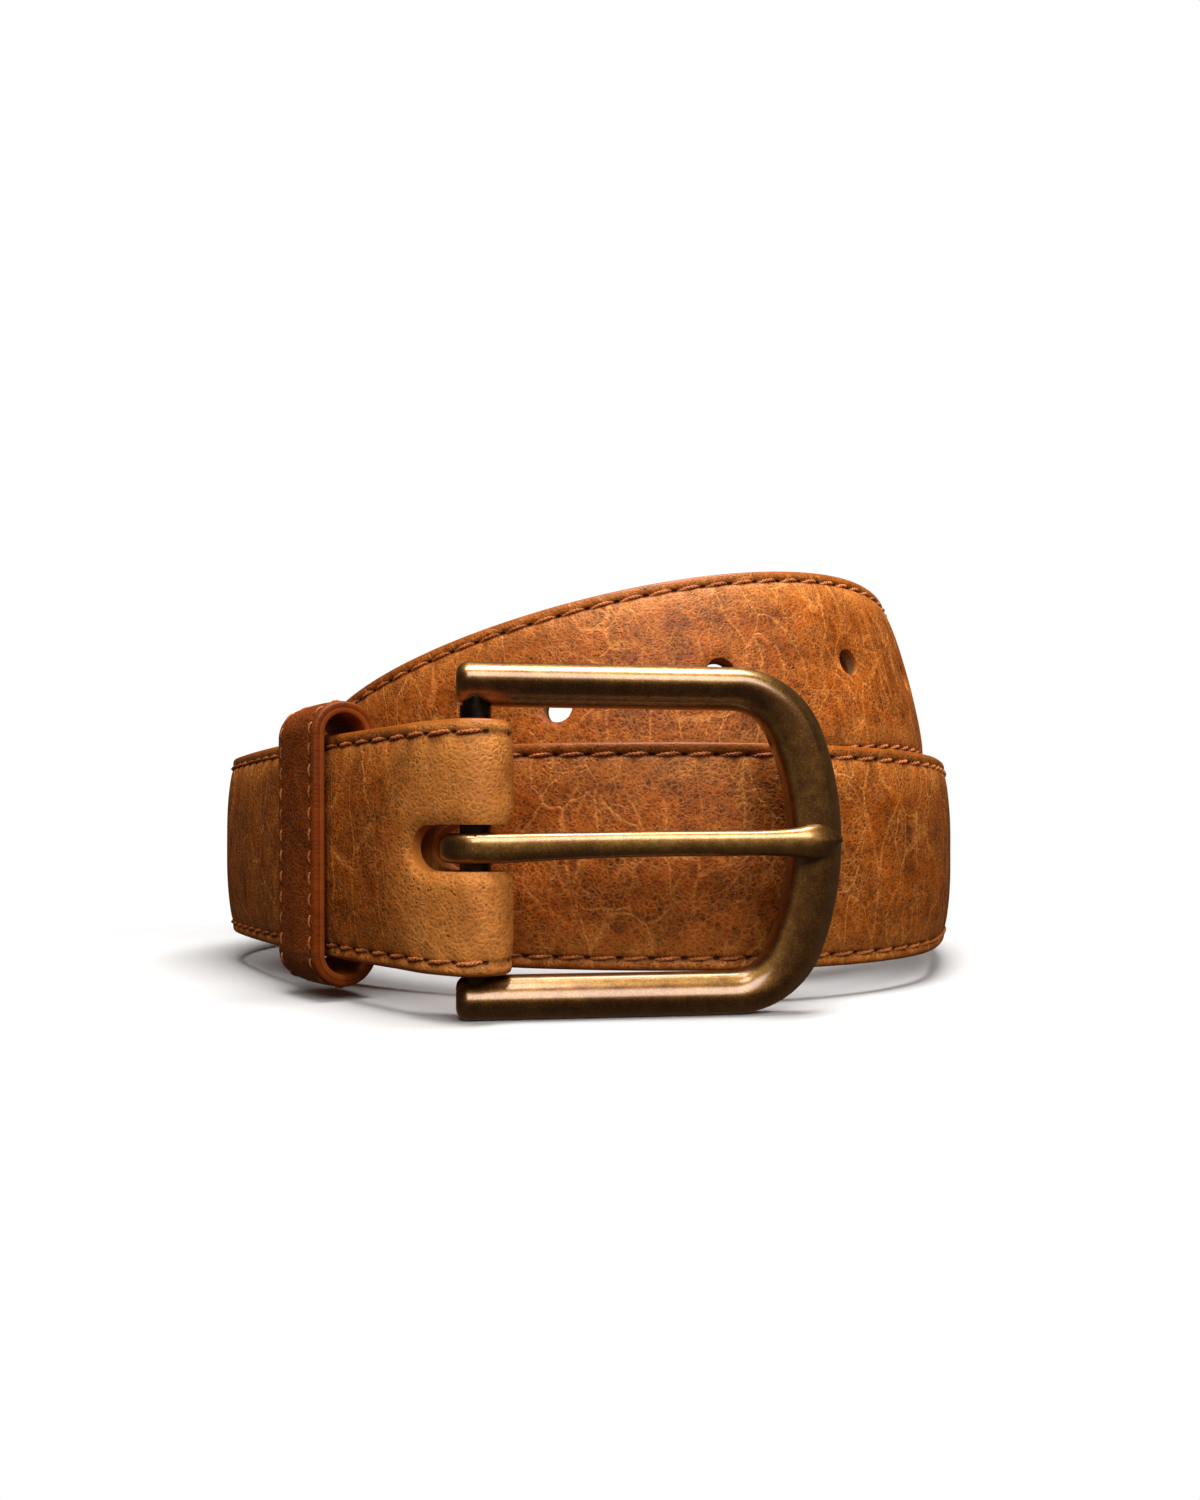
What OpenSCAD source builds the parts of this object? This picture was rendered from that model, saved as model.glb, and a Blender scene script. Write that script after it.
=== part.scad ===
// Leather belt stored coiled on its lower edge, buckle to the front.
// Millimetres, +Z up, -Y is the front. The origin is below the middle of the coil, on the surface it stands on.
// A place on the strap is [s, u, v]: s runs along the strap from the fold at the heel bar to the tip,
// u is outwards through the leather from the strap's mid-plane, v is across the strap.

/* [Strap] */
// Width of the strap
strap_w = 35; // [34:0.5:36]
// Thickness at the middle of the strap
strap_t = 3.8; // [3.6:0.1:4]
// Thickness at the edges of the strap
edge_t = 2.4; // [2.2:0.1:2.6]
// Thickness of the lining leather
lining_t = 1.2; // [1:0.1:1.3]
// Length from the fold at the heel bar to the tip
strap_len = 1034; // [1010:1:1045]
// Length of the rounded end at the tip
tip_len = 20; // [16:1:26]

/* [Holes] */
// Distance from the fold to the middle hole
mid_hole_s = 877; // [865:1:890]
// Distance between two holes
hole_pitch = 27; // [25:0.5:28]
// Number of holes
hole_count = 5; // [3:2:5]
// Diameter of a hole
hole_d = 5; // [4:0.1:6]

/* [Fold] */
// Thickness of the leather in the fold round the heel bar
fold_t = 3; // [2.8:0.1:3.2]
// Length of the turned-back flap behind the strap
flap_len = 33; // [24:1:34]
// Thickness of the flap at its shaved end
flap_end_t = 1.5; // [1:0.1:2]
// Height of the slot for the prong
slot_h = 6.4; // [6.2:0.1:7]
// Reach of the slot to the left of the heel bar
slot_reach = 8; // [7.5:0.1:9]
// Height of the middle of the slot above the ground
slot_z = 24; // [23.8:0.1:24.2]

/* [Seam] */
// Distance from the seam to the strap's edge
seam_inset = 1.9; // [1.7:0.1:2.1]
// Width of the seam thread
thread_w = 0.7; // [0.5:0.1:0.8]

/* [Buckle] */
// Height of the frame
frame_h = 50; // [49.5:0.1:50.5]
// Distance from the heel bar to the outside of the end bar
frame_reach = 53.2; // [52.5:0.1:53.5]
// Width of the two side bars
side_bar_w = 6.2; // [5.8:0.1:6.2]
// Width of the end bar
end_bar_w = 7.9; // [7:0.1:8]
// Depth of the frame behind the plane of the heel bar
frame_back = 2.5; // [2.3:0.1:2.7]
// Depth of the frame in front of the plane of the heel bar
frame_front = 2.7; // [2.5:0.1:2.7]
// Diameter of the heel bar
heel_d = 4.4; // [4.2:0.1:4.4]
// Angle of the buckle at rest, its free end away from the front
buckle_angle = 8; // [6:0.5:9]

/* [Prong] */
// Height of the eye of the prong
eye_h = 4.8; // [4.6:0.1:5.6]
// Outer diameter of the eye of the prong
eye_d = 10.2; // [9.6:0.1:10.4]
// Distance from the heel bar to the tip of the prong
prong_reach = 52; // [51:0.1:52.5]

/* [Keeper] */
// Width of the keeper along the strap
keeper_w = 14; // [12:0.5:14.5]
// Outer height of the keeper
keeper_h = 45; // [44.6:0.1:45]
// Outer depth of the keeper
keeper_d = 11.2; // [11.1:0.1:11.3]
// Thickness of the keeper's outer leather
band_t = 1.2; // [1:0.1:1.2]
// Thickness of the keeper's lining
keeper_lining_t = 0.9; // [0.7:0.1:0.9]
// Distance from the fold to the middle of the keeper
keeper_s = 36; // [35.5:0.5:37]

/* [Hidden] */
leather = [0.72, 0.42, 0.22];
lining_tan = [0.66, 0.45, 0.28];
thread_tan = [0.78, 0.5, 0.3];
brass = [0.55, 0.45, 0.22];
steel = [0.25, 0.24, 0.23];
glue = 0.04;
half_w = strap_w / 2;
half_t = strap_t / 2;
heel_r = heel_d / 2;
running_gap = 0.05;
bore_r = heel_r + running_gap;

// The coil seen from above: the heading of the strap where it leaves the fold, then arcs that all
// turn clockwise, each a radius and an angle. The heel bar stands at [0, 0].
first_heading = 149;
coil_arcs = [[54, 16], [285, 14], [43, 34], [90, 62], [70, 126], [184, 12], [54, 62],
    [79, 54], [69, 50], [75, 50], [65, 54], [60, 50], [73, 50], [57, 54], [64, 50], [61, 200]];

// Height of the strap's lower edge: a list of places along the strap and the height there
edge_heights = [[0, 6.6], [110, 6.2], [210, 0], [285, 0], [380, 5], [700, 5.2], [1100, 5.2]];

// The last turn leans: it lies in a tilted plane through lean_centre
lean_angle = 14.6;
lean_heading = 148.4;
lean_centre = [24.3, 92, 41.8];
lean_start = 525;
lean_end = 640;
lean_axis = [sin(lean_angle) * cos(lean_heading), sin(lean_angle) * sin(lean_heading), cos(lean_angle)];

// From the strap's mid-plane to the heel bar's axis
fold_r = bore_r + fold_t - half_t;
fold_under = half_t - fold_t;
flap_lift = half_t + 2 * glue - fold_under;

function unit(a) = a / norm(a);
function mix(a, b, t) = a * (1 - t) + b * t;
function ease(t) = let (c = min(1, max(0, t))) c * c * (3 - 2 * c);
function turn(a) = [cos(a), sin(a)];
function last_below(list, x) = max([for (i = [0 : len(list) - 2]) if (list[i] <= x || i == 0) i]);

arc_start = [for (i = 0, s = 0; i <= len(coil_arcs);
    s = s + (i < len(coil_arcs) ? coil_arcs[i][0] * coil_arcs[i][1] * PI / 180 : 0), i = i + 1) s];
arc_heading = [for (i = 0, h = first_heading; i <= len(coil_arcs);
    h = h - (i < len(coil_arcs) ? coil_arcs[i][1] : 0), i = i + 1) h];
function arc_step(i) = coil_arcs[i][0]
    * (turn(arc_heading[i] - 90) - turn(arc_heading[i] - coil_arcs[i][1] - 90));
arc_point = [for (i = 0, p = fold_r * turn(first_heading + 90); i <= len(coil_arcs);
    p = p + (i < len(coil_arcs) ? arc_step(i) : [0, 0]), i = i + 1) p];

function plan(s) = let (i = last_below(arc_start, s), r = coil_arcs[i][0],
    a = (s - arc_start[i]) / r * 180 / PI)
    arc_point[i] + r * (turn(arc_heading[i] - 90) - turn(arc_heading[i] - a - 90));
function edge_height(s) = let (starts = [for (k = edge_heights) k[0]], i = last_below(starts, s),
    a = edge_heights[i], b = edge_heights[i + 1])
    mix(a[1], b[1], ease((s - a[0]) / (b[0] - a[0])));
function lean_height(p) = lean_centre[2]
    - ((p[0] - lean_centre[0]) * lean_axis[0] + (p[1] - lean_centre[1]) * lean_axis[1]) / lean_axis[2];
function lean(s) = ease((s - lean_start) / (lean_end - lean_start));
function centre(s) = let (p = plan(s))
    [p[0], p[1], mix(edge_height(s) + half_w, lean_height(p), lean(s))];
function along(s) = unit(centre(s + 0.5) - centre(s - 0.5));
function outward(s) = unit(cross(mix([0, 0, 1], lean_axis, lean(s)), along(s)));
function across(s) = cross(along(s), outward(s));
// A section of the strap: its middle, its outward direction and its direction across
function section(s) = [centre(s), outward(s), across(s)];
function place(sec, u, v) = sec[0] + u * sec[1] + v * sec[2];

// Half the width, which narrows to a round end at the tip
function half_width(s) = let (t = max(0, (s - strap_len + tip_len) / tip_len))
    max(1.5, half_w * sqrt(max(0, 1 - t * t)));

// Places along the strap where a section stands. Each hole lies in the middle of a stretch between two.
strap_from = 14;
strap_step = hole_pitch / 3;
steps_back = floor((mid_hole_s - strap_from - 3) / strap_step - 0.5);
steps_on = floor((strap_len - tip_len - 3 - mid_hole_s) / strap_step - 0.5);
tip_steps = 8;
strap_stations = concat([strap_from],
    [for (i = [-steps_back : steps_on + 1]) mid_hole_s + (i - 0.5) * strap_step], [strap_len - tip_len]);
tip_stations = [for (i = [1 : tip_steps]) strap_len - tip_len + tip_len * sin(90 * i / tip_steps)];
all_stations = concat(strap_stations, tip_stations);

// The whole belt is moved so that the origin is below the middle of its box
edge_points = [for (s = all_stations) let (sec = section(s)) for (v = [-1, 1]) place(sec, half_t, v * half_w)];
fold_outer_r = fold_r + half_t;
x_low = min([for (p = edge_points) p[0]]);
x_high = max([for (p = edge_points) p[0]]);
y_high = max([for (p = edge_points) p[1]]);
origin = [-(x_low + x_high) / 2, -(y_high - fold_outer_r) / 2, 0];

// A solid through a list of rings, each with the same number of points
module loft(rings) {
    n = len(rings[0]);
    m = len(rings);
    sides = [for (j = [0 : m - 2]) for (i = [0 : n - 1]) let (k = (i + 1) % n)
        each [[j * n + i, j * n + k, (j + 1) * n + k], [j * n + i, (j + 1) * n + k, (j + 1) * n + i]]];
    first = [[for (i = [0 : n - 1]) n - 1 - i]];
    last = [[for (i = [0 : n - 1]) (m - 1) * n + i]];
    polyhedron(points = [for (r = rings) each r], faces = concat(first, sides, last));
}

// Stands its children on the strap: x along it, y across it, z outwards
module on_strap(s) {
    a = along(s);
    w = -across(s);
    o = outward(s);
    p = centre(s);
    multmatrix([[a[0], w[0], o[0], p[0]], [a[1], w[1], o[1], p[1]], [a[2], w[2], o[2], p[2]]])
        children();
}

module strap_holes() {
    for (i = [0 : hole_count - 1])
        on_strap(mid_hole_s + (i - (hole_count - 1) / 2) * hole_pitch)
            cylinder(h = 4 * strap_t, d = hole_d, center = true, $fn = 48);
}

// The outer face is crowned: rim at the edge, shoulder at the seam, and full in the middle.
// full is 0 in the fold, where the leather is flat, and 1 where it lies over the filler.
crown_rim = half_t - strap_t + edge_t;
function face_u(v_share, full) =
    v_share > 0.99 ? mix(half_t - 0.5, crown_rim, full)
    : v_share > 0.85 ? mix(half_t - 0.1, seam_u, full)
    : v_share > 0.5 ? mix(half_t, half_t - 0.35, full) : half_t;
seam_share = 1 - seam_inset / half_w;
under_edge = half_t - strap_t + lining_t + glue;
under_middle = half_t - (strap_t - lining_t) / 2;
// Shares of the half width: where the hollow for the filler starts, and where it is full
filler_edge = 0.74;
filler_flat = 0.25;
seam_u = crown_rim + 0.3;
function outer_ring(sec, w, full, top_drop, under, crown = 1) = concat(
    [for (k = [-1, -seam_share, -0.62, -filler_flat, filler_flat, 0.62, seam_share, 1])
        place(sec, min(face_u(abs(k), full), mix(seam_u, half_t, crown)) - top_drop, k * w)],
    [for (k = [1, filler_edge, filler_flat, -filler_flat, -filler_edge, -1])
        place(sec, mix(under, mix(under_edge, abs(k) > 0.5 ? under_edge : under_middle, crown), full), k * w)]);

// The fold: sections of the flap from its end, then round the heel bar, then the start of the strap
fold_bore_relief = 0.2;
fold_under_cut = fold_under - fold_bore_relief;
function flap_section(d) = let (sec = section(d),
    gap = mix(2 * fold_r, flap_lift, ease(d / 15)))
    [sec[0] - gap * sec[1], -sec[1], sec[2]];
function bend_section(a) = let (dir = turn(first_heading + 90 + a), mid = edge_height(0) + half_w)
    [[fold_r * dir[0], fold_r * dir[1], mid], [dir[0], dir[1], 0], [0, 0, 1]];
flap_rings = [for (d = [flap_len : -flap_len / 8 : 3])
    outer_ring(flap_section(d), half_w, 0, (fold_t - flap_end_t) * ease(d / flap_len), fold_under)];
bend_rings = [for (a = [180 : -15 : 0]) outer_ring(bend_section(a), half_w, 0, 0, fold_under_cut)];
start_rings = [for (s = [2.5, 5.5, 8.5, 11])
    outer_ring(section(s), half_w, ease((s - 5) / 8), 0, fold_under)];
// Past the end of the filler the crown runs down to the level of the seam
coil_rings = [for (s = all_stations)
    outer_ring(section(s), half_width(s), 1, 0, fold_under, 1 - ease((s - strap_len + tip_len) / 8))];

module strap_outer() {
    color(leather)
        difference() {
            loft(concat(flap_rings, bend_rings, start_rings, coil_rings));
            cylinder(h = 100, r = bore_r, $fn = 64);
            rotate([0, 0, first_heading]) prong_slot();
            strap_holes();
        }
}

// The slot goes through the front of the fold, round its bend and through the flap
module prong_slot() {
    slot_r = slot_h / 2;
    translate([0, 0, slot_z])
        rotate([90, 0, 0]) {
            translate([slot_reach - slot_r, 0, 0])
                cylinder(h = 30, r = slot_r, center = true, $fn = 48);
            translate([(slot_reach - slot_r - 10) / 2, 0, 0])
                cube([slot_reach - slot_r + 10, slot_h, 30], center = true);
        }
}

// A thin solid along the strap; profile gives its points as [u, share of the half width]
module strap_layer(stations, profile) {
    loft([for (s = stations) let (sec = section(s))
        [for (p = profile) place(sec, p[0], p[1] * half_width(s))]]);
}

module strap_filler() {
    low = under_edge;
    top = under_middle - 2 * glue;
    edge = filler_edge - 0.04;
    color(lining_tan)
        difference() {
            strap_layer([for (s = strap_stations) if (s > 20) s],
                [[low, edge], [low, -edge], [top, -filler_flat], [top, filler_flat]]);
            strap_holes();
        }
}

module strap_lining() {
    color(lining_tan)
        difference() {
            strap_layer(all_stations,
                [[-half_t + lining_t, 1], [-half_t + lining_t, -1], [-half_t, -1], [-half_t, 1]]);
            strap_holes();
        }
}

// One thread along the upper edge, round the tip and back along the lower edge
tip_turns = [for (a = [15 : 15 : 165]) a];
module seam_thread(start, base_u, rise) {
    lane = seam_share * half_w;
    up = [for (s = strap_stations) if (s > start) [s, lane, 0]];
    round_tip = [for (a = tip_turns)
        [strap_len - tip_len + (tip_len - seam_inset) * sin(a), lane * cos(a), a]];
    down = [for (i = [len(up) - 1 : -1 : 0]) [up[i][0], -lane, 180]];
    route = concat(up, round_tip, down);
    loft([for (p = route) let (sec = section(p[0]),
        side = cos(p[2]) * sec[2] + sin(p[2]) * along(p[0]),
        foot = place(sec, base_u, p[1]))
        [foot + thread_w / 2 * side, foot - thread_w / 2 * side, foot + rise * sec[1]]]);
}

module needle_thread() {
    color(thread_tan)
        seam_thread(16, seam_u + 0.14, 0.4);
}

module bobbin_thread() {
    color(thread_tan)
        seam_thread(flap_len + 1, -half_t - 0.06, -0.35);
}

// The frame's outline: two straight side bars, round corners and a bowed end bar
bow_r = 45;
corner_r = 14.1;
inner_corner_r = 6.2;
bow_x = frame_reach - bow_r;
half_h = frame_h / 2;
function corner_x(r, outer_r, top) = bow_x + sqrt(pow(outer_r - r, 2) - pow(top - r, 2));
function bow_angle(r, outer_r, top) = asin((top - r) / (outer_r - r));
// A point on the outer or inner outline: t from 0 at the top bar's start of the corner to 1 at its end,
// then to 2 at the middle of the end bar
function outline(t, r, outer_r, top) = let (cx = corner_x(r, outer_r, top), a = bow_angle(r, outer_r, top))
    t <= 1 ? [cx, top - r] + r * turn(mix(90, a, t)) : [bow_x, 0] + outer_r * turn(mix(a, 0, t - 1));
function outer_outline(t) = outline(t, corner_r, bow_r, half_h);
function inner_outline(t) = outline(t, inner_corner_r, bow_r - end_bar_w, half_h - side_bar_w);
bar_end_x = -2.7;
// A section of the frame between an inner and an outer outline point
function frame_ring(inner, outer, flip) = let (d = unit(outer - inner), w = norm(outer - inner),
    profile = [[0, -1.6], [0, 0.9], [0.7, 1.9], [1.8, frame_front - 0.15], [w / 2, frame_front],
        [w - 2.2, frame_front - 0.3], [w - 0.8, 1.4], [w, 0.2], [w, -1.4], [w - 1, -frame_back], [1, -frame_back]])
    [for (p = profile) let (q = inner + p[0] * d) [q[0], -p[1], flip * q[1]]];
corner_turns = [for (t = [0 : 0.125 : 1]) t];
bow_turns = [for (t = [1.25 : 0.25 : 2]) t];
quarter = concat([for (x = [bar_end_x, bar_end_x + 0.6]) [[x, half_h - side_bar_w + (x == bar_end_x ? 0.5 : 0)],
        [x, half_h - (x == bar_end_x ? 0.5 : 0)]]],
    [for (t = concat(corner_turns, bow_turns)) [inner_outline(t), outer_outline(t)]]);

module buckle_frame() {
    top = [for (q = quarter) frame_ring(q[0], q[1], 1)];
    bottom = [for (i = [len(quarter) - 2 : -1 : 0]) frame_ring(quarter[i][0], quarter[i][1], -1)];
    color(brass)
        in_buckle()
            difference() {
                loft(concat(top, bottom));
                cylinder(h = frame_h - 2 * spigot_cover + 0.1, r = spigot_r + 0.02, center = true, $fn = 48);
            }
}

// x points from the heel bar to the free end of the buckle, -y to the front, z up from its middle
module in_buckle() {
    translate([0, 0, half_h])
        rotate([0, 0, buckle_angle])
            children();
}

spigot_r = 1.5;
spigot_cover = 2.2;
module heel_bar() {
    color(steel)
        in_buckle() {
            cylinder(h = frame_h - 2 * side_bar_w - 0.1, d = heel_d, center = true, $fn = 64);
            cylinder(h = frame_h - 2 * spigot_cover, r = spigot_r, center = true, $fn = 48);
        }
}

// Sections of the prong: distance from the heel bar, middle height, width, back and front
eye_r = eye_d / 2;
prong_z = slot_z - half_h;
rest_y = frame_front + 0.05;
prong_shape = [[0, prong_z, eye_h, 2.7, eye_r], [4.5, prong_z + 0.05, eye_h - 0.1, 2.4, eye_r],
    [9, prong_z + 0.2, eye_h - 0.4, 2.4, 5.05], [15, prong_z + 0.4, 4.1, 2.6, 5.2], [23, prong_z + 0.6, 3.7, 2.7, 5.5],
    [35, -0.3, 3.7, rest_y, 5.7], [43.5, -0.25, 3.9, rest_y, 5.7], [46, -0.2, 4.5, rest_y, 5.75],
    [48.2, -0.1, 4.8, rest_y, 5.5], [50.4, 0, 3.2, rest_y, 4.6], [prong_reach, 0.1, 0.9, rest_y, 3.5]];
function prong_ring(p) = let (w = p[2] / 2, f = p[4], b = p[3], round = (f - b) * 0.3)
    [for (q = [[b + round, -w], [f - round, -w * 0.95], [f, -w * 0.35], [f, w * 0.35],
        [f - round, w * 0.95], [b + round, w], [b, w * 0.8], [b, -w * 0.8]]) [p[0], -q[0], p[1] + q[1]]];

module prong() {
    color(brass)
        in_buckle()
            difference() {
                union() {
                    loft([for (p = prong_shape) prong_ring(p)]);
                    translate([0, 0, prong_z])
                        cylinder(h = eye_h, r = eye_r, center = true, $fn = 64);
                }
                translate([0, 0, prong_z])
                    cylinder(h = 2 * eye_h, r = bore_r, center = true, $fn = 64);
            }
}

// The keeper is an upright loop with half-round ends, closed by a staple behind the strap.
// It goes round the strap and the end of the flap, so it sits back from the strap's middle.
keeper_shift = -0.7;
keeper_lift = 0.4;
module stadium(h, d) {
    square([d, h - d], center = true);
    for (side = [-1, 1])
        translate([0, side * (h - d) / 2])
            circle(d = d, $fn = 64);
}
module keeper_ring(inset, t) {
    rotate([0, 90, 0])
        linear_extrude(height = keeper_w, center = true)
            difference() {
                stadium(keeper_h - 2 * inset, keeper_d - 2 * inset);
                stadium(keeper_h - 2 * inset - 2 * t, keeper_d - 2 * inset - 2 * t);
            }
}
module on_keeper() {
    on_strap(keeper_s)
        translate([0, -keeper_lift, keeper_shift])
            children();
}
staple_w = 6;
staple_leg = 0.35;
back_z = -keeper_d / 2;
module keeper_joint() {
    cube([2 * keeper_w, 0.1, 4 * keeper_d], center = true);
}
module behind_strap() {
    intersection() {
        keeper_joint();
        translate([0, 0, back_z])
            cube([3 * keeper_w, 2, keeper_d], center = true);
    }
}
module staple_legs(r) {
    for (side = [-1, 1])
        translate([0, side * staple_w / 2, back_z - 0.02])
            cylinder(h = band_t + keeper_lining_t + glue, r = r, $fn = 24);
}

module keeper_band() {
    color(leather)
        on_keeper()
            difference() {
                keeper_ring(0, band_t);
                behind_strap();
                staple_legs(staple_leg + 0.03);
            }
}

module keeper_lining() {
    color(lining_tan)
        on_keeper()
            difference() {
                keeper_ring(band_t + glue, keeper_lining_t);
                behind_strap();
                staple_legs(staple_leg + 0.03);
            }
}

keeper_seam_inset = 1.5;
keeper_stitches = 6;
module keeper_stitching() {
    run = keeper_h - keeper_d;
    pitch = run / keeper_stitches;
    color(thread_tan)
        on_keeper()
            for (edge = [-1, 1])
                for (i = [0 : keeper_stitches - 1])
                    for (face = [-1, 1])
                        translate([edge * (keeper_w / 2 - keeper_seam_inset), (i + 0.5) * pitch - run / 2,
                            face * (keeper_d / 2 + 0.18)])
                            cube([0.5, pitch * 0.7, 0.3], center = true);
}

module keeper_staple() {
    crown_t = 0.5;
    color(steel)
        on_keeper() {
            staple_legs(staple_leg);
            translate([0, 0, back_z - crown_t / 2 - 0.01])
                cube([1, staple_w + 2 * staple_leg, crown_t], center = true);
        }
}

translate(origin) {
    strap_outer();
    strap_filler();
    strap_lining();
    needle_thread();
    bobbin_thread();
    buckle_frame();
    heel_bar();
    prong();
    keeper_band();
    keeper_lining();
    keeper_stitching();
    keeper_staple();
}
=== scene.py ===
"""Looks of a coiled leather belt: strap, seams, keeper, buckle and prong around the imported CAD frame.

Lengths below are millimetres unless a name says otherwise. Pieces are made from places on the strap:
s runs along it from the fold at the heel bar to the tip, u is outwards from its mid-plane, v is across it.
"""

import math

import bmesh
import bpy
import numpy as np
from mathutils import Matrix, Vector


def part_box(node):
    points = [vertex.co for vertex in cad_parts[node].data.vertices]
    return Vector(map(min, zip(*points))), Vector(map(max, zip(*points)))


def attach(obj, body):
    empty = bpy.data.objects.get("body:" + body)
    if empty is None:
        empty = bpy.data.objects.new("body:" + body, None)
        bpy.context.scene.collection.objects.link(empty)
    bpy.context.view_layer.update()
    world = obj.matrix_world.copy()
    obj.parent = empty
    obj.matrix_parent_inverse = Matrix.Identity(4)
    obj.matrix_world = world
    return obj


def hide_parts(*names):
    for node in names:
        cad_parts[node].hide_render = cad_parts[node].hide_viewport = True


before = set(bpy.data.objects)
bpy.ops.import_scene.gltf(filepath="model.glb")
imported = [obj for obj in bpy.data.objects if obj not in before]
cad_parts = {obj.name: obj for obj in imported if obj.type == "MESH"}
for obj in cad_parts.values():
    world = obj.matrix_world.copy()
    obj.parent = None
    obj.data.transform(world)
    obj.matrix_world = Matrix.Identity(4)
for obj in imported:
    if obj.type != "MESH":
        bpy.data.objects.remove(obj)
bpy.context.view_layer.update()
MM = 0.001
PI = math.pi

# ---------------------------------------------------------------- the strap's measures, as in the CAD model
HALF_W = 17.5
HALF_T = 1.9
EDGE_T = 2.4
LINING_T = 1.2
STRAP_LEN = 1034.0
TIP_LEN = 20.0
FOLD_T = 3.0
FLAP_LEN = 33.0
FLAP_END_T = 1.5
BORE_R = 2.25
SLOT_H = 6.4
SLOT_REACH = 8.0
SLOT_Z = 24.0
SEAM_INSET = 1.9
HOLE_D = 5.0
HOLES = [877.0 + 27.0 * i for i in (-2, -1, 0, 1, 2)]
GLUE = 0.04
FIRST_HEADING = 149.0
COIL_ARCS = [(54, 16), (285, 14), (43, 34), (90, 62), (70, 126), (184, 12), (54, 62), (79, 54), (69, 50),
             (75, 50), (65, 54), (60, 50), (73, 50), (57, 54), (64, 50), (61, 200)]
EDGE_HEIGHTS = [(0, 6.6), (110, 6.2), (210, 0), (285, 0), (380, 5), (700, 5.2), (1100, 5.2)]
LEAN_ANGLE = 14.6
LEAN_HEADING = 148.4
LEAN_CENTRE = (24.3, 92, 41.8)
LEAN_SPAN = (525, 640)
BUCKLE_ANGLE = 8.0
FRAME_H = 50.0
FRAME_REACH = 53.2
SIDE_BAR_W = 6.2
END_BAR_W = 7.9
FRAME_BACK = 2.5
FRAME_FRONT = 2.7
EYE_H = 4.2
EYE_R = 5.1
PRONG_REACH = 52.0
KEEPER_S = 36.0
KEEPER_SHIFT = -0.7
KEEPER_LIFT = 0.4
KEEPER_W = 14.0
KEEPER_H = 45.0
KEEPER_D = 11.2
BAND_T = 1.2
KEEPER_LINING_T = 0.9
FOLD_R = BORE_R + FOLD_T - HALF_T
FOLD_UNDER = HALF_T - FOLD_T
BEND_LEN = PI * (FOLD_R + HALF_T)
RIM_U = HALF_T - 3.8 + EDGE_T
UNDER_EDGE = HALF_T - 3.8 + LINING_T + GLUE
UNDER_MIDDLE = HALF_T - (3.8 - LINING_T) / 2
STITCH_PITCH = 4.95

low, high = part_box("heel_bar")
HEEL = np.array([(low.x + high.x) / 2 / MM, (low.y + high.y) / 2 / MM, 0.0])


# ---------------------------------------------------------------- the coil's path
def turn(a):
    a = np.radians(a)
    return np.stack([np.cos(a), np.sin(a)], -1)


def ease(t):
    t = np.clip(t, 0, 1)
    return t * t * (3 - 2 * t)


def unit(a):
    return a / np.linalg.norm(a, axis=-1, keepdims=True)


def coil_tables():
    start, heading, point = [0.0], [FIRST_HEADING], [FOLD_R * turn(FIRST_HEADING + 90)]
    for radius, sweep in COIL_ARCS:
        step = turn(heading[-1] - 90) - turn(heading[-1] - sweep - 90)
        point.append(point[-1] + radius * step)
        heading.append(heading[-1] - sweep)
        start.append(start[-1] + radius * math.radians(sweep))
    return np.array(start), np.array(heading), np.array(point)


ARC_START, ARC_HEADING, ARC_POINT = coil_tables()
ARC_RADIUS = np.array([a[0] for a in COIL_ARCS], float)
LEAN_AXIS = np.array([*(math.sin(math.radians(LEAN_ANGLE)) * turn(LEAN_HEADING)),
                      math.cos(math.radians(LEAN_ANGLE))])


def plan(s):
    i = np.clip(np.searchsorted(ARC_START, s, "right") - 1, 0, len(COIL_ARCS) - 1)
    r = ARC_RADIUS[i]
    a = np.degrees((s - ARC_START[i]) / r)
    return ARC_POINT[i] + r[:, None] * (turn(ARC_HEADING[i] - 90) - turn(ARC_HEADING[i] - a - 90))


def edge_height(s):
    starts = np.array([k[0] for k in EDGE_HEIGHTS], float)
    heights = np.array([k[1] for k in EDGE_HEIGHTS], float)
    i = np.clip(np.searchsorted(starts, s, "right") - 1, 0, len(starts) - 2)
    t = ease((s - starts[i]) / (starts[i + 1] - starts[i]))
    return heights[i] * (1 - t) + heights[i + 1] * t


def lean(s):
    return ease((s - LEAN_SPAN[0]) / (LEAN_SPAN[1] - LEAN_SPAN[0]))


def centre(s):
    p = plan(s)
    off = (p - np.array(LEAN_CENTRE[:2])) @ LEAN_AXIS[:2]
    leaning = LEAN_CENTRE[2] - off / LEAN_AXIS[2]
    k = lean(s)
    return np.column_stack([p, (edge_height(s) + HALF_W) * (1 - k) + leaning * k])


def coil_sections(s):
    """Middle, outward direction and direction across of the strap at each s from 0 up."""
    s = np.asarray(s, float)
    ahead = unit(centre(s + 0.5) - centre(s - 0.5))
    up = np.array([0, 0, 1.0]) * (1 - lean(s))[:, None] + LEAN_AXIS * lean(s)[:, None]
    out = unit(np.cross(up, ahead))
    return centre(s), out, np.cross(ahead, out)


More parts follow.
